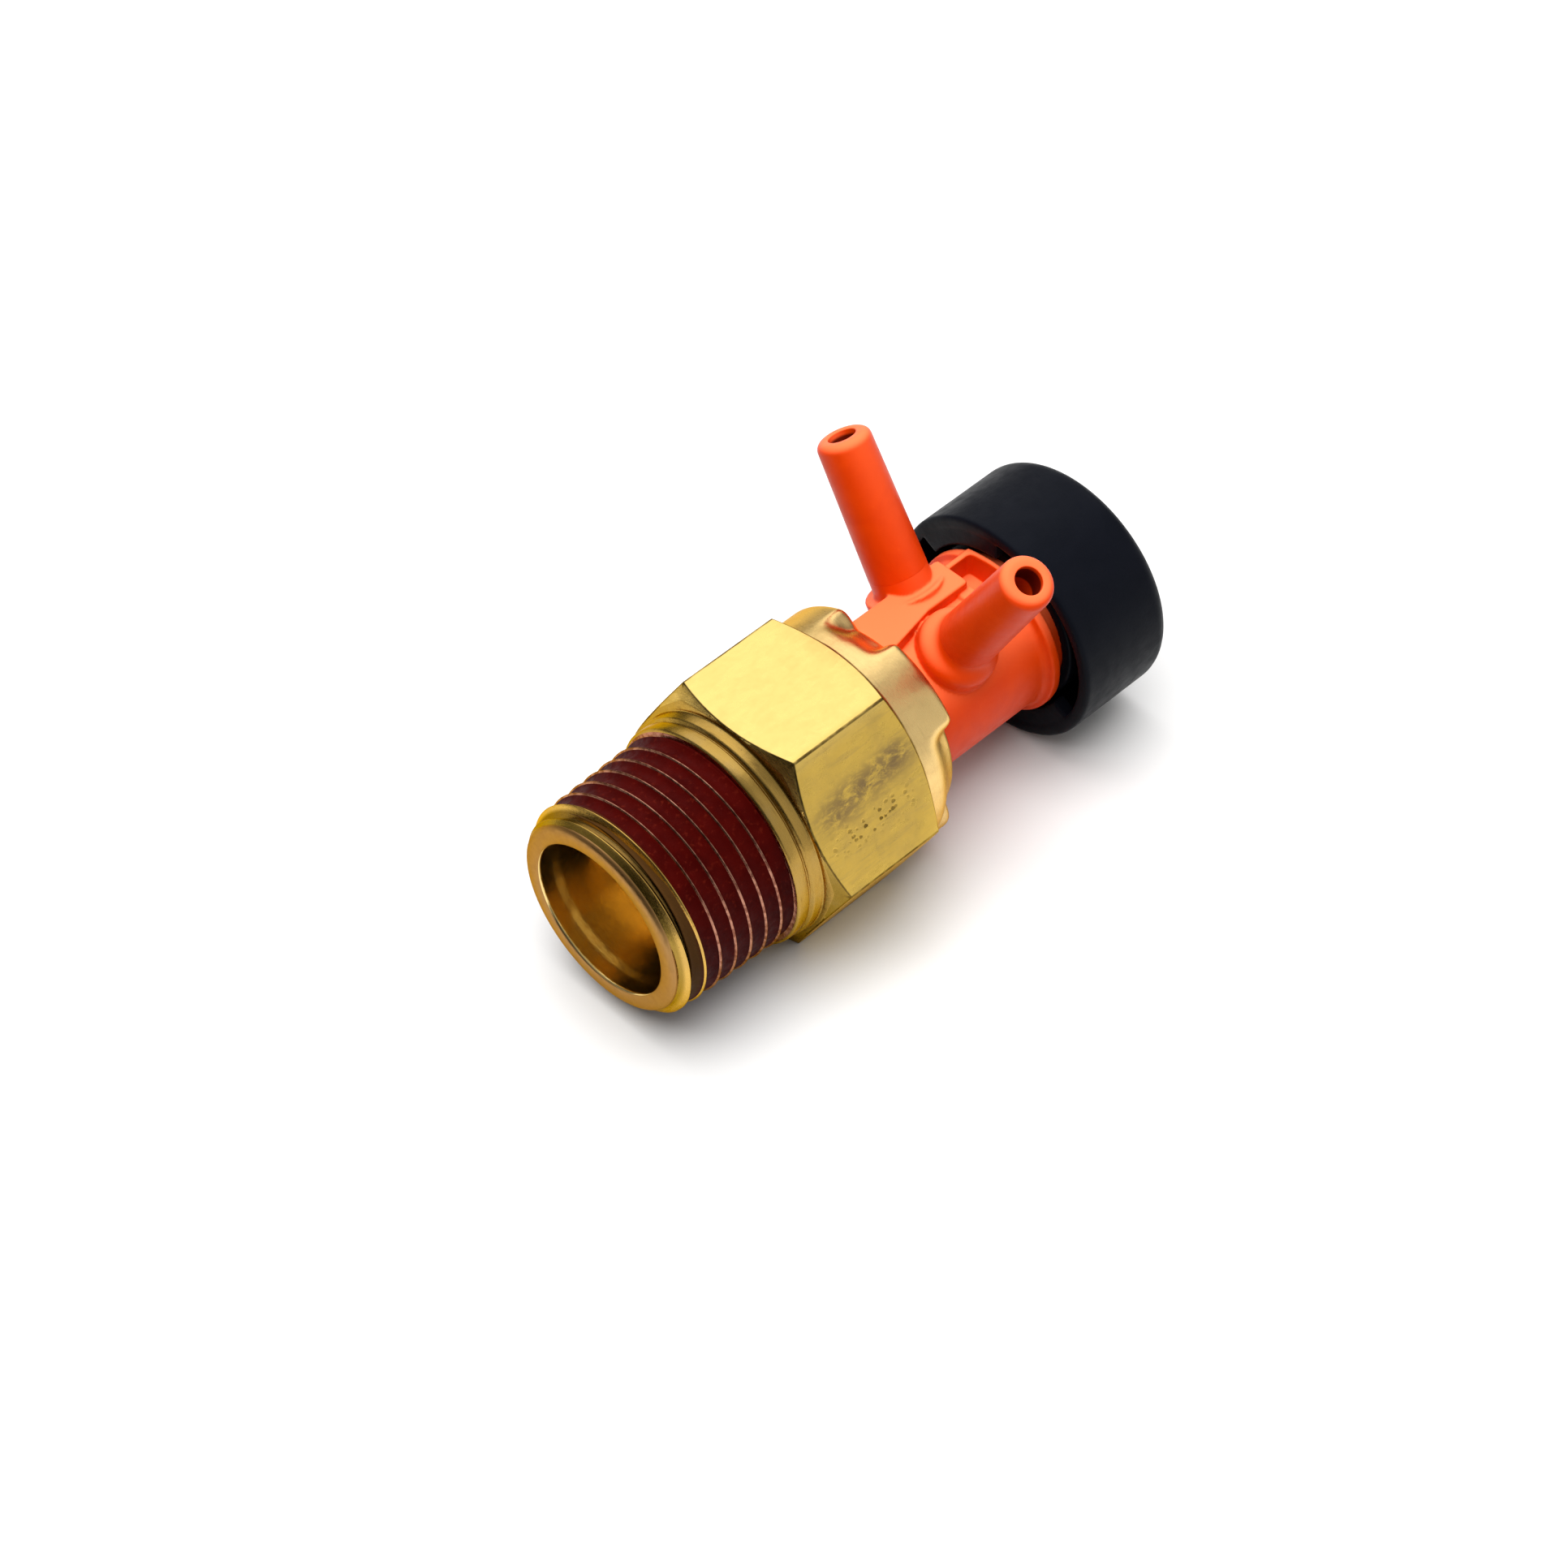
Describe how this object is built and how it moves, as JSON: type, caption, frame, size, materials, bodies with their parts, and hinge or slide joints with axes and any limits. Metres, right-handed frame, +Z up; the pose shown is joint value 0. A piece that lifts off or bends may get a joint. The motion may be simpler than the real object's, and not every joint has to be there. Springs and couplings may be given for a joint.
{
  "type": "thermal vacuum switch",
  "caption": "Threaded brass temperature-sensing vacuum switch: taper pipe thread, wrench hexagon, plastic valve body with two angled hose nipples and a filtered vent cap.",
  "frame": {"origin": "centre of the hexagon flat that the part lies on, on the floor", "axes": "+X along the main axis from the threaded end to the vent cap, +Z up through the opposite flat; the two nipples lean 30 degrees to either side of +Z"},
  "size_m": [0.0483, 0.0222, 0.027],
  "materials": {
    "brass_housing": "machined brass, lightly tarnished, pitted on the flats",
    "thread_sealant": "dark red dried thread sealant, satin",
    "rubber": "matt black rubber",
    "copper_cup": "drawn brass cup, brown from heat",
    "wax": "dull cream wax with copper powder",
    "inner_brass": "clean turned brass",
    "steel": "bright steel",
    "white_plastic": "white low-friction plastic",
    "orange_plastic": "orange-red moulded plastic, satin gloss",
    "natural_plastic": "natural moulded plastic",
    "black_plastic": "black moulded plastic, satin",
    "foam": "open-cell grey foam"
  },
  "bodies": {
    "housing": {"brass_housing": "brass_housing", "thread_sealant": "thread_sealant", "element_gasket": "rubber", "element_cup": "copper_cup", "wax_pellet": "wax", "element_diaphragm": "rubber", "element_guide": "inner_brass", "preload_washer": "steel", "valve_body": "orange_plastic", "body_seal_ring": "rubber", "return_spring": "steel", "spring_seat": "inner_brass"},
    "plunger": {"force_plug": "rubber", "backup_disc": "white_plastic", "piston_pin": "steel", "valve_spool": "natural_plastic", "spool_ring_1": "rubber", "spool_ring_2": "rubber"},
    "cap": {"vent_cap": "black_plastic", "foam_filter": "foam"}
  },
  "joints": [
    {"name": "plunger_stroke", "type": "slide", "parent": "housing", "child": "plunger", "axis": [1, 0, 0], "range_m": [0, 0.0025], "stiffness_N_per_m": 2000, "springref_m": -0.002, "deforming": ["return_spring"]},
    {"name": "cap_pull_off", "type": "slide", "parent": "housing", "child": "cap", "axis": [1, 0, 0], "range_m": [0, 0.01]}
  ]
}
